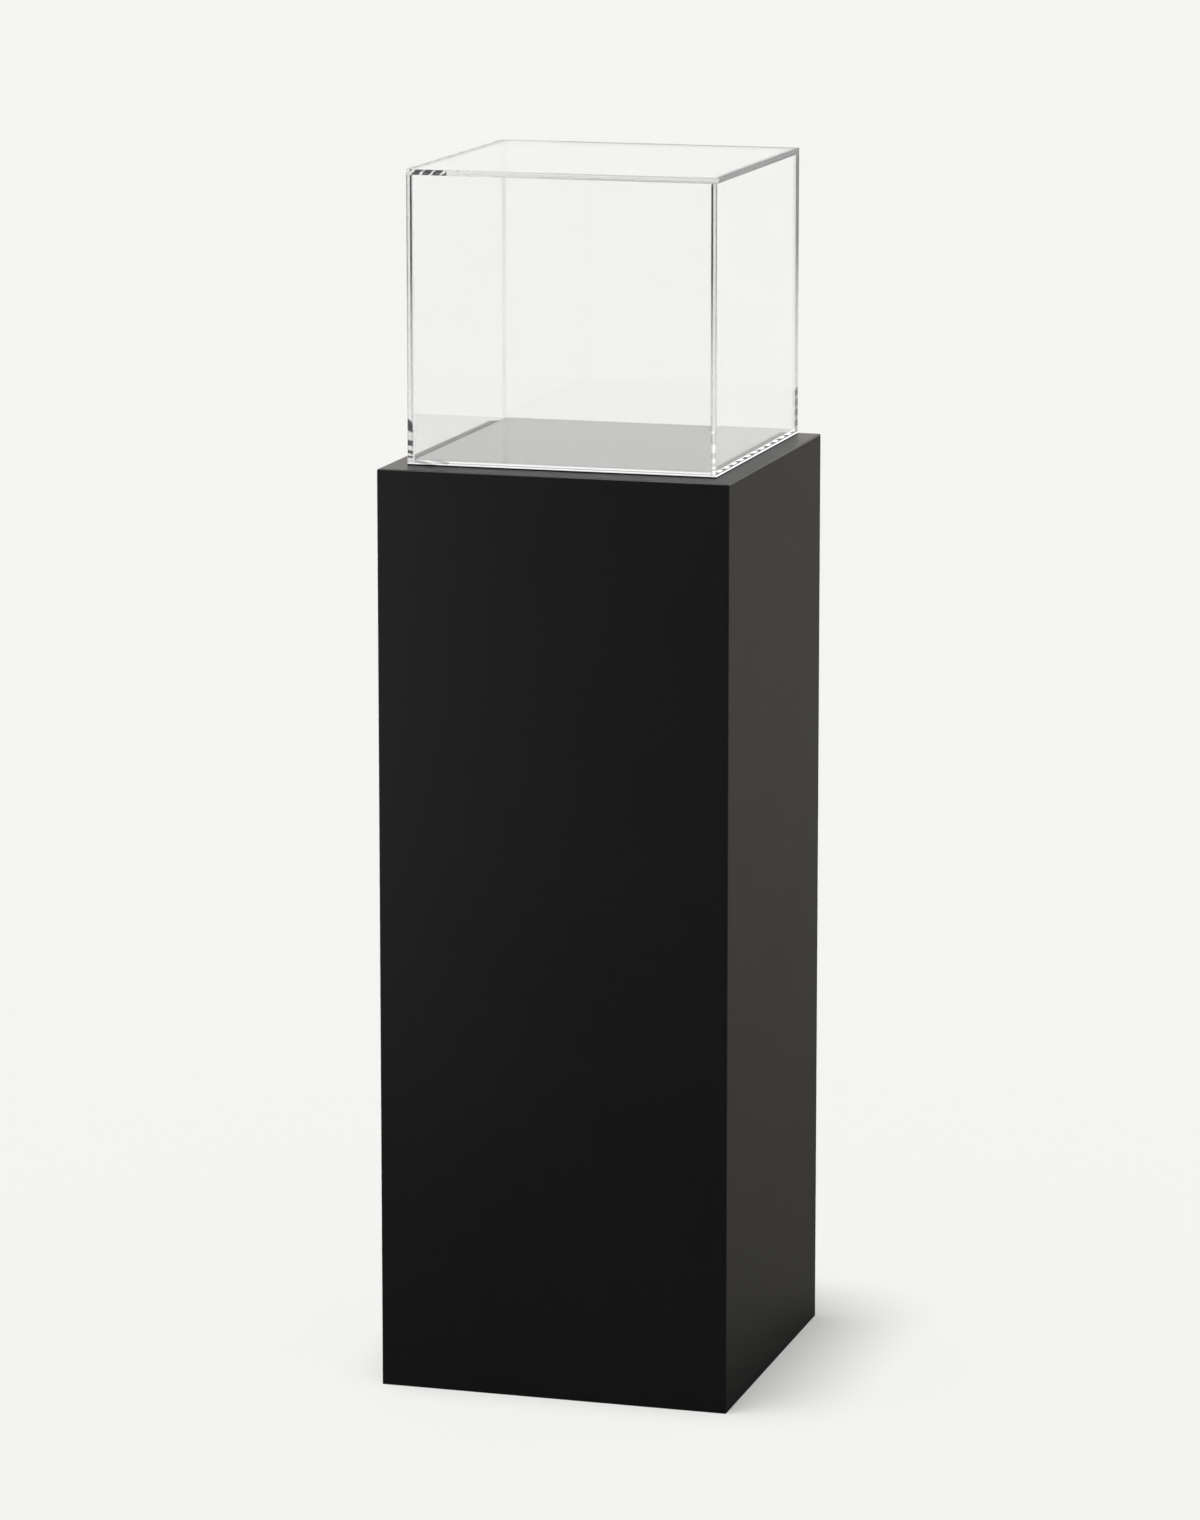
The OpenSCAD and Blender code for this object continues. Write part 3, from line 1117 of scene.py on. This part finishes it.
@dataclass
class Cover:
    """The five-sided cover, solvent-cemented so that its sheets are optically one."""

    sheet: float = 0.006
    caught_light: float = 0.30
    arris: float = 0.0003
    lift: float = 0.00006
    twisted: float = 0.042
    marked_corner: float = 0.040
    back_seam: float = 0.013
    seam_shift: float = 0.0307
    seam_width: float = 0.0458
    fade_from: float = 0.06
    fade_to: float = 0.20

    nodes = ["cover_front_sheet", "cover_back_sheet", "cover_left_sheet", "cover_right_sheet",
             "cover_top_sheet"]
    # Dark lines of the cemented joints, partly painted dark refraction of the black deck.
    lines = (Line(0.80, 0.24, 1.0), Line(0.13, 0.12, 0.85), Line(0.45, 0.80, 0.22))

    def build(self) -> bpy.types.Object:
        """Builds the shell, polishes its arrises and marks where its sheets meet.

        Returns:
            The piece.
        """
        corners = [c for n in self.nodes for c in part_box(n)]
        low = Vector(map(min, *corners)) + self.lift * UP
        high = Vector(map(max, *corners))
        wall = Vector((self.sheet, self.sheet, 0.0))
        shape = bmesh.new()
        outer = block(shape, low, high, open_below=True)
        inner = block(shape, low + wall, high - wall - self.sheet * UP, open_below=True)
        bmesh.ops.reverse_faces(shape, faces=within(shape.faces, inner))
        join(shape, inner[:4], outer[:4])
        soften(shape, self.arris, outer, inner[:4])
        self.mark_edges(shape, low, high)
        acrylic = ClearSheet("clear_acrylic_cover", self.caught_light, self.lines,
                             self.fade_from, self.fade_to)
        return piece(meshed("cover", shape), acrylic, "cover", self.nodes)

    def mark_edges(self, shape: bmesh.types.BMesh, low: Vector, high: Vector) -> None:
        """Cuts the faces where sheets meet and where the painted band and the foot zone end, and
        marks the exposed edges for their finish.

        Args:
            shape: the shell.
            low: its lowest corner.
            high: its highest corner.
        """
        cuts = ((UP, high.z - self.sheet), (RIGHT, low.x + self.sheet),
                (RIGHT, high.x - self.sheet), (BACK, high.y - self.back_seam),
                (UP, low.z + self.twisted))
        for way, distance in cuts:
            parts = shape.verts[:] + shape.edges[:] + shape.faces[:]
            bmesh.ops.bisect_plane(shape, geom=parts, plane_co=distance * way, plane_no=way,
                                   dist=1e-7)
        add_edge_layers(shape)
        for face in shape.faces:
            strip = self.strip_at(face.calc_center_median(), low, high)
            if strip:
                strip.lay_on(shape, face)

    def strip_at(self, at: Vector, low: Vector, high: Vector) -> Strip | None:
        """Finds the exposed sheet edge at a place.

        Args:
            at: the middle of a face.
            low: the cover's lowest corner.
            high: its highest corner.

        Returns:
            The strip, or None where the place is on a sheet's face.
        """
        near = 0.6 * self.arris
        front, back = at.y - low.y < near, high.y - at.y < near
        left, right = at.x - low.x < self.sheet, high.x - at.x < self.sheet
        by_left, by_right = at.x - low.x < near, high.x - at.x < near
        if high.z - self.sheet < at.z < high.z - near:
            if front:
                return Strip(low, RIGHT, high, DOWN, self.sheet, 1.0, self.marked_corner, seam=0.6)
            if back:
                return Strip(high, LEFT, high, DOWN, self.sheet, 1.0, self.marked_corner)
            if by_right:
                return Strip(low, BACK, high, DOWN, self.sheet, 1.0, seam=1.0)
            if by_left:
                return Strip(low, BACK, high, DOWN, self.sheet, 0.4)
        if at.z < low.z + near:
            return Strip(low, RIGHT, low, BACK, high.y - low.y)
        foot = at.z < low.z + self.twisted
        if (front or back) and (left or right):
            marks = (1.0 if left else 0.45) if front else 0.0
            seam = 1.0 if front else 0.2 if left else 0.3
            # Painted glow in the foot of the front right edge.
            glow = 0.9 if foot and front and right else 0.0
            outside, inward = (low, RIGHT) if left else (high, LEFT)
            return Strip(low, UP, outside, inward, self.sheet, marks, self.twisted, crowded=1.0,
                         seam=seam, glow=glow)
        # A painted dark band on the side sheets' outer faces near the back, darkest on the right,
        # with painted glow at its foot.
        if (by_left or by_right) and high.y - at.y < self.back_seam:
            marks, seam = (1.0, 1.0) if by_right else (0.0, 0.15)
            return Strip(low, UP, high + self.seam_shift * BACK, FRONT, self.seam_width, marks,
                         self.twisted, seam=seam, glow=0.2 if foot else 0.0)
        return None


@dataclass
class CaseBase:
    """The stepped base: a sheet with the cover's outline and a smaller one cemented on it."""

    arris: float = 0.0003
    lift: float = 0.00008
    marked_corner: float = 0.040
    caught_light: float = 0.80

    nodes = ["case_base_sheet", "case_step_sheet"]
    # The line at the foot is a painted contact shadow under the base; the other draws a darker line
    # near the top of the step.
    lines = (Line(0.07, 0.23, 1.0), Line(0.92, 0.16, 0.45))

    def build(self) -> bpy.types.Object:
        """Builds the stepped block, a hair above the deck, so that air lies under it.

        Returns:
            The piece.
        """
        low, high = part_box(self.nodes[0])
        step_low, step_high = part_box(self.nodes[1])
        low = low + self.lift * UP
        shape = bmesh.new()
        lower = block(shape, low, high)
        upper = block(shape, step_low, step_high, open_below=True)
        bmesh.ops.delete(shape, geom=within(shape.faces, lower[4:]), context="FACES_ONLY")
        join(shape, lower[4:], upper[:4])
        soften(shape, self.arris, lower, upper[4:])
        add_edge_layers(shape)
        for face in shape.faces:
            face.normal_update()
            if abs(face.normal.z) <= 0.5:
                on_step = face.calc_center_median().z > high.z
                strip = self.strip_at(face.normal, on_step, low, step_high)
                strip.lay_on(shape, face)
        acrylic = ClearSheet("clear_acrylic_base", self.caught_light, self.lines, pitch=0.026,
                             slant=1.5, share=0.50, margin=0.10, wander=0.15,
                             mark=(0.06, 0.06, 0.06), seam=(0.0004, 0.0004, 0.0004),
                             density=38.0)
        return piece(meshed("case_base", shape), acrylic, "plinth", self.nodes)

    def strip_at(self, facing: Vector, on_step: bool, low: Vector, high: Vector) -> Strip:
        """Finds the exposed edge that a face belongs to.

        Args:
            facing: the face's normal.
            on_step: whether it is on the upper sheet.
            low: the block's lowest corner.
            high: its highest corner.

        Returns:
            The strip, which takes both sheets together.
        """
        both = high.z - low.z
        if abs(facing.x) > abs(facing.y):
            # Painted glow: the edges that face right glow most, the front one less, the left and
            # back ones not at all.
            marks, seam, lit = (1.0, 0.3, 2.7) if on_step else (0.0, 1.0, 1.5)
            return Strip(low, BACK, low, UP, both, marks, seam=seam,
                         glow=lit if facing.x > 0 else 0.0)
        if facing.y < 0:
            return Strip(low, RIGHT, low, UP, both, 0.5, self.marked_corner, seam=1.0, glow=1.2)
        return Strip(high, LEFT, low, UP, both, seam=1.0)


@dataclass
class Plinth:
    """The painted box and the wooden frame inside it."""

    walls = ["front_wall", "back_wall", "left_wall", "right_wall", "deck_board"]

    def build(self) -> None:
        """Dresses the walls and all that they hide."""
        dress(self.walls, Lacquer())
        dress(["base_board"], Primer())
        corners = [f"{y}_{x}" for y in ("front", "back") for x in ("left", "right")]
        dress([f"corner_batten_{corner}" for corner in corners], Pine(Grain.ALONG_Z))
        for part in ("deck", "base"):
            dress([f"{part}_cleat_front", f"{part}_cleat_back"], Pine(Grain.ALONG_X))
            dress([f"{part}_cleat_left", f"{part}_cleat_right"], Pine(Grain.ALONG_Y))


@dataclass
class Screws:
    """The countersunk wood screws that hold the cleats to the deck and the base board."""

    head: float = 0.0040
    recess: float = 0.0025
    recess_floor: float = 0.7
    recess_rim: float = 1.08
    recess_depth: float = 0.0019
    chamfer: float = 0.0001
    rim: float = 0.0004
    taper: float = 0.0026
    shank: float = 0.0020
    point: float = 0.0040
    point_rings: int = 12
    plain: float = 0.0090
    pitch: float = 0.0018
    thread_depth: float = 0.00045
    spread: float = 0.077

    def rings(self, length: float) -> list[Ring]:
        """Draws one screw, from the floor of its recess to its point.

        Args:
            length: the screw's length.

        Returns:
            Its rings, in turn.
        """
        tip = length - self.point
        drawn = [Ring(0.0, self.recess_depth, cross=1.0),
                 Ring(self.recess_floor * self.recess, self.recess_depth, cross=1.0),
                 Ring(self.recess, 0.0, cross=1.0), Ring(self.recess_rim * self.recess, 0.0),
                 Ring(self.head - self.chamfer, 0.0), Ring(self.head, self.chamfer),
                 Ring(self.head, self.rim), Ring(self.shank, self.rim + self.taper),
                 Ring(self.shank, self.plain)]
        drawn += threaded(self.shank, self.plain + self.pitch, tip, self.pitch)
        for i in range(1, self.point_rings):
            gone = i / self.point_rings
            drawn.append(Ring(self.shank * (1 - gone), tip + self.point * gone, thread=1 - gone))
        return drawn + [Ring(0.0, length)]

    def build(self) -> None:
        """Builds both sets: up through the deck cleats, and down through the base cleats."""
        zinc = PlatedSteel("yellow_zinc_plated_steel", (0.80, 0.66, 0.36), (0.52, 0.42, 0.26))
        for node, down in (("deck_cleat_screws", 0.0), ("base_cleat_screws", 1.0)):
            low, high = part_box(node)
            TurnedPart(
                node.replace("cleat_", "") + "_turned", self.rings(high.z - low.z), zinc,
                sides=24, thread_pitch=self.pitch, thread_depth=self.thread_depth, count=8,
                per_side=2, spread=self.spread, inset=high.x - self.head,
                height=high.z if down else low.z, upside_down=down,
            ).build("plinth", "screw_steel", [node])


@dataclass
class Feet:
    """The four screw feet and the nuts that they turn in."""

    stud: float = 0.00395
    pitch: float = 0.00125
    thread_depth: float = 0.00065
    flats: float = 0.0065
    hexagon_height: float = 0.005
    chamfer: float = 0.0004
    lead: float = 0.001
    flange: float = 0.0110
    flange_thick: float = 0.0016
    barrel: float = 0.0055
    bore: float = 0.0040

    def build(self) -> None:
        """Builds the nuts and the studs, and dresses the pads."""
        zinc = PlatedSteel("white_zinc_plated_steel", (0.70, 0.71, 0.73), (0.46, 0.47, 0.49))
        nut_low, nut_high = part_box("tee_nuts")
        inset = nut_high.x - self.flange
        TurnedPart("tee_nuts_turned", self.nut_rings(nut_high.z - nut_low.z), zinc, count=4,
                   spread=inset, inset=inset,
                   height=nut_low.z).build("plinth", "foot_steel", ["tee_nuts"])
        for y, front in (("front", 1.0), ("back", -1.0)):
            for x, right in (("left", -1.0), ("right", 1.0)):
                corner = f"{y}_{x}"
                low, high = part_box(f"foot_stud_{corner}")
                pad_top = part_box(f"foot_pad_{corner}")[1].z
                rings = self.stud_rings(high.z - low.z, pad_top - low.z)
                TurnedPart(f"stud_{corner}", rings, zinc, sides=36, thread_pitch=self.pitch,
                           thread_depth=self.thread_depth, spread=right * inset,
                           inset=front * inset, height=low.z,
                           ).build(f"foot_{corner}", "foot_steel", [f"foot_stud_{corner}"])
                dress([f"foot_pad_{corner}"], MouldedNylon())

    def nut_rings(self, length: float) -> list[Ring]:
        """Draws a nut: up its barrel, round its flange and down its bore.

        Args:
            length: the nut's length.

        Returns:
            Its rings, in turn.
        """
        under = length - self.flange_thick
        edge = self.chamfer
        wide = self.bore + edge
        return [Ring(wide, 0.0), Ring(self.barrel - edge, 0.0), Ring(self.barrel, edge),
                Ring(self.barrel, under), Ring(self.flange, under),
                Ring(self.flange, length - edge), Ring(self.flange - edge, length),
                Ring(wide, length), Ring(self.bore, length - edge), Ring(self.bore, edge),
                Ring(wide, 0.0)]

    def stud_rings(self, length: float, seat: float) -> list[Ring]:
        """The rings of a stud with the hexagon that turns it.

        Args:
            length: the stud's whole length.
            seat: how far its lower end reaches down into the pad.

        Returns:
            Its rings, from the lower end upwards.
        """
        top = seat + self.hexagon_height
        edge = self.chamfer
        drawn = [Ring(0.0, 0.0), Ring(self.stud - edge, 0.0), Ring(self.stud, edge),
                 Ring(self.stud, seat), Ring(self.flats - edge, seat),
                 Ring(self.flats, seat + edge, hexagon=1.0),
                 Ring(self.flats, top - edge, hexagon=1.0), Ring(self.flats - edge, top),
                 Ring(self.stud, top), Ring(self.stud, top + self.pitch)]
        drawn += threaded(self.stud, top + 2 * self.pitch, length - self.lead, self.pitch)
        return drawn + [Ring(self.stud - self.lead, length), Ring(0.0, length)]


@dataclass
class Studio:
    """Floor, soft light and camera, none of them part of the object."""

    floor_radius: float = 60.0
    floor_drop: float = 0.0002
    floor_tone: float = 0.805
    floor_glow: float = 0.25
    floor_behind: tuple[float, float] = (0.17, 0.26)
    floor_ahead: tuple[float, float] = (0.06, 0.15)
    ambient: float = 0.15
    ceiling_from: float = 12.0
    ceiling_to: float = 20.0
    ceiling_tone: float = 0.25
    shaded_wall: float = 0.07
    bright_wall: float = 1.3
    sun_strength: float = 3.08
    sun_azimuth: float = 34.0
    sun_elevation: float = 86.6
    sun_spread: float = 12.0
    card_place: Vector = field(default_factory=lambda: Vector((-1.0, -1.0, 0.55)))
    card_size: float = 1.1
    card_strength: float = 0.80
    camera_distance: float = 5.9048
    camera_yaw: float = 0.2850
    camera_pitch: float = 0.17225
    camera_height: float = 1.7794
    camera_aside: float = -0.0030
    lens: float = 144.55
    centre_above: float = 150 / 1520

    def build(self) -> None:
        """Builds floor, light and camera."""
        self.build_floor()
        self.build_world()
        self.build_sun()
        self.build_card()
        self.build_camera()
        scene = bpy.context.scene
        scene.view_settings.view_transform = "Standard"
        scene.cycles.max_bounces = 64
        scene.cycles.glossy_bounces = 48
        scene.cycles.transmission_bounces = 64
        scene.cycles.transparent_max_bounces = 32

    @staticmethod
    def staged(name: str, shape: bmesh.types.BMesh) -> tuple[bpy.types.Object, Graph]:
        """Puts a plain shape of the studio in place, with an empty material of its own.

        Args:
            name: its name.
            shape: its shape.

        Returns:
            The object, and the graph to fill its material with.
        """
        made = placed(name, meshed(name, shape))
        material = bpy.data.materials.new(name)
        made.data.materials.append(material)
        return made, cleared(material)

    def build_floor(self) -> None:
        """A wide pale floor, which shows less pale in soft reflections."""
        shape = bmesh.new()
        bmesh.ops.create_circle(shape, cap_ends=True, radius=self.floor_radius, segments=96)
        bmesh.ops.translate(shape, verts=shape.verts, vec=(0.0, 0.0, -self.floor_drop))
        _, graph = self.staged("floor", shape)
        pale = tuple(self.floor_tone * c / PALE_BACKGROUND[0] for c in PALE_BACKGROUND)
        where = graph.place()
        far = graph.out("ShaderNodeVectorMath", {0: where}, "Value", operation="LENGTH")
        behind = graph.steps(far, 0.0, 3.6, *self.floor_behind)
        ahead = graph.steps(far, 0.0, 5.0, *self.floor_ahead)
        side = graph.steps(graph.axes(where)[1], -0.3, 0.3)
        satin = graph.mix(1.0, graph.mix(side, ahead, behind),
                          graph.mix(side, (1.0, 1.0, 1.0), WARM), "MULTIPLY")
        blurred = graph.blurred_ray()
        lit = graph.out("ShaderNodeBsdfDiffuse", {"Color": graph.mix(blurred, pale, satin)})
        glow = graph.out("ShaderNodeEmission", {"Color": PALE_BACKGROUND})
        seen = 1.0 - graph.math("MAXIMUM", blurred, graph.ray("Diffuse"))
        both = graph.out("ShaderNodeMixShader", {0: seen * self.floor_glow, 1: lit, 2: glow})
        graph.node("ShaderNodeOutputMaterial", {"Surface": both})

    def build_world(self) -> None:
        """Soft light all round, and what camera, glass and gloss see of the studio."""
        world = bpy.data.worlds.new("studio")
        graph = cleared(world)
        way = graph.out("ShaderNodeTexCoord", output="Generated")
        _, depth, height = graph.axes(way)
        overhead = graph.steps(height, math.sin(math.radians(self.ceiling_from)),
                               math.sin(math.radians(self.ceiling_to)))
        clear = graph.mix(overhead, PALE_BACKGROUND, (self.ceiling_tone,) * 3)
        bright = tuple(self.bright_wall * c for c in WARM)
        half_bright = tuple(c / 2 for c in bright)
        lit_wall = graph.mix(graph.steps(height, 0.0, 0.2), half_bright, bright)
        wall = graph.mix(graph.steps(depth, -0.6, 0.6), (self.shaded_wall,) * 3, lit_wall)
        gloss = graph.mix(graph.steps(height, 0.3, 0.8), wall, (0.2, 0.2, 0.2))
        seen = graph.mix(graph.ray("Diffuse"), clear, (self.ambient,) * 3)
        seen = graph.mix(graph.blurred_ray(), seen, gloss)
        seen = graph.mix(graph.ray("Camera"), seen, PALE_BACKGROUND)
        light = graph.out("ShaderNodeBackground", {"Color": seen})
        graph.node("ShaderNodeOutputWorld", {"Surface": light})
        bpy.context.scene.world = world

    def build_sun(self) -> None:
        """A broad soft lamp from the front left, above."""
        lamp = bpy.data.lights.new("soft_key", "SUN")
        lamp.energy = self.sun_strength
        lamp.angle = math.radians(self.sun_spread)
        across, up = math.radians(self.sun_azimuth), math.radians(self.sun_elevation)
        from_there = Vector((-math.sin(across) * math.cos(up), -math.cos(across) * math.cos(up),
                             math.sin(up)))
        placed("soft_key", lamp).rotation_euler = from_there.to_track_quat("Z", "Y").to_euler()

    def build_card(self) -> None:
        """A bright card at the upper left of the front, which only satin surfaces reflect."""
        shape = bmesh.new()
        half = self.card_size / 2
        corners = [(-half, -half), (half, -half), (half, half), (-half, half)]
        shape.faces.new([shape.verts.new((x, 0.0, z)) for x, z in corners])
        turned = (Vector((0.0, 0.0, self.card_place.z)) - self.card_place).to_track_quat("-Y", "Z")
        shape.transform(turned.to_matrix().to_4x4())
        bmesh.ops.translate(shape, verts=shape.verts, vec=self.card_place)
        card, graph = self.staged("bright_card", shape)
        for ray in ("camera", "diffuse", "transmission", "volume_scatter", "shadow"):
            setattr(card, f"visible_{ray}", False)
        lit = graph.out("ShaderNodeEmission", {"Strength": self.card_strength})
        clear = graph.out("ShaderNodeBsdfTransparent")
        both = graph.out("ShaderNodeMixShader", {0: graph.blurred_ray(), 1: clear, 2: lit})
        graph.node("ShaderNodeOutputMaterial", {"Surface": both})

    def build_camera(self) -> None:
        """The camera, to the right of the front and above the case."""
        data = bpy.data.cameras.new("camera")
        data.lens = self.lens
        data.shift_y = -self.centre_above
        data.clip_end = 200.0
        camera = placed("camera", data)
        sin, cos = math.sin(self.camera_yaw), math.cos(self.camera_yaw)
        camera.location = (sin * self.camera_distance + cos * self.camera_aside,
                           -cos * self.camera_distance + sin * self.camera_aside,
                           self.camera_height)
        camera.rotation_euler = (QUARTER_TURN - self.camera_pitch, 0.0, self.camera_yaw)
        bpy.context.scene.camera = camera


def main() -> None:
    """Builds the object and its studio."""
    logging.basicConfig(level=logging.INFO, format="%(message)s")
    Plinth().build()
    Screws().build()
    Feet().build()
    CaseBase().build()
    Cover().build()
    Studio().build()


if __name__ == "__main__":
    main()
